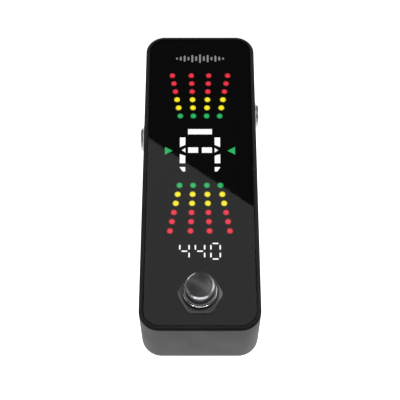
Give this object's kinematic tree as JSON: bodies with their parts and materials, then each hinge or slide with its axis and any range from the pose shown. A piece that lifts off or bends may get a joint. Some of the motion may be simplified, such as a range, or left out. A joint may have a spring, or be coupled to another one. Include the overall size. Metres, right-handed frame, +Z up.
{
  "type": "pedal tuner",
  "caption": "Slim floor pedal tuner: a die-cast box with a flush smoked window over a lit note display, a sprung round footswitch, side jacks and a rear power socket.",
  "frame": {"origin": "centre of the resting face, under the rubber pad", "axes": "+Z up, +Y to the rear where the power socket is, -Y to the front where the footswitch is, +X to the right (input jack)"},
  "size_m": [0.046, 0.1228, 0.0399],
  "materials": {
    "body_grey": "satin",
    "bezel_black": "gloss",
    "smoked_window": "gloss",
    "tape_black": "matte",
    "base_black": "satin",
    "screw_steel": "satin",
    "pad_rubber": "matte",
    "shield_black": "matte",
    "lens_red": "diffusing",
    "lens_yellow": "diffusing",
    "lens_green": "diffusing",
    "lens_white": "diffusing",
    "print_grey": "matte",
    "board_green": "satin",
    "led_white": "satin",
    "chip_black": "matte",
    "tinned_metal": "satin",
    "can_aluminium": "satin",
    "relay_white": "satin",
    "jack_plastic": "matte",
    "jack_nickel": "satin",
    "contact_brass": "satin",
    "dark_chrome": "polished",
    "dark_nut": "satin",
    "spring_steel": "satin",
    "wire_red": "satin",
    "button_black": "satin"
  },
  "bodies": {
    "housing": {"enclosure": "body_grey", "top_bezel": "bezel_black", "window_panel": "smoked_window", "window_tape": "tape_black", "base_plate": "base_black", "base_screws": "screw_steel", "rubber_pad": "pad_rubber", "light_shield": "shield_black", "red_dot_lenses": "lens_red", "yellow_dot_lenses": "lens_yellow", "green_dot_lenses": "lens_green", "note_lenses": "lens_white", "arrow_lenses": "lens_green", "pitch_lenses": "lens_white", "printed_mark": "print_grey", "display_board": "board_green", "display_screws": "screw_steel", "dot_leds": "led_white", "segment_leds": "led_white", "header_plug": "chip_black", "header_contacts": "tinned_metal", "header_socket": "chip_black", "main_board": "board_green", "board_screws": "screw_steel", "tuner_chip": "chip_black", "chip_leads": "tinned_metal", "crystal": "can_aluminium", "filter_capacitors": "can_aluminium", "voltage_regulator": "chip_black", "bypass_relay": "relay_white", "power_socket_body": "jack_plastic", "power_socket_pin": "tinned_metal", "mode_switch_body": "chip_black", "footswitch_bushing": "dark_nut", "footswitch_nut": "dark_nut", "footswitch_washer": "dark_nut", "footswitch_housing": "jack_plastic", "footswitch_terminals": "contact_brass", "footswitch_spring": "spring_steel", "footswitch_wires": "wire_red", "output_jack_body": "jack_plastic", "output_jack_barrel": "jack_nickel", "output_jack_nut": "jack_nickel", "output_jack_terminal": "tinned_metal", "input_jack_body": "jack_plastic", "input_jack_barrel": "jack_nickel", "input_jack_nut": "jack_nickel", "input_jack_terminal": "tinned_metal"},
    "footswitch_plunger": {"footswitch_button": "dark_chrome", "footswitch_contact_ring": "contact_brass"},
    "mode_key": {"mode_button": "button_black", "mode_switch_plunger": "chip_black"},
    "output_tip_contact": {"output_jack_tip_spring": "contact_brass"},
    "input_tip_contact": {"input_jack_tip_spring": "contact_brass"},
    "power_contact": {"power_socket_spring": "contact_brass"}
  },
  "joints": [
    {"name": "footswitch_press", "type": "slide", "parent": "housing", "child": "footswitch_plunger", "axis": [0, 0, -1], "range_m": [0, 0.0025], "stiffness_N_per_m": 600, "springref_m": -0.003, "deforming": ["footswitch_spring"]},
    {"name": "mode_press", "type": "slide", "parent": "housing", "child": "mode_key", "axis": [0, -1, 0], "range_m": [0, 0.0004]},
    {"name": "output_tip_flex", "type": "hinge", "parent": "housing", "child": "output_tip_contact", "pos_m": [0.008, 0.0221, 0.01905], "axis": [0, 1, 0], "range_deg": [0, 10]},
    {"name": "input_tip_flex", "type": "hinge", "parent": "housing", "child": "input_tip_contact", "pos_m": [-0.008, 0.0329, 0.01905], "axis": [0, -1, 0], "range_deg": [0, 10]},
    {"name": "power_contact_flex", "type": "hinge", "parent": "housing", "child": "power_contact", "pos_m": [-0.0045, 0.0466, 0.0105], "axis": [-1, 0, 0], "range_deg": [0, 5]}
  ]
}
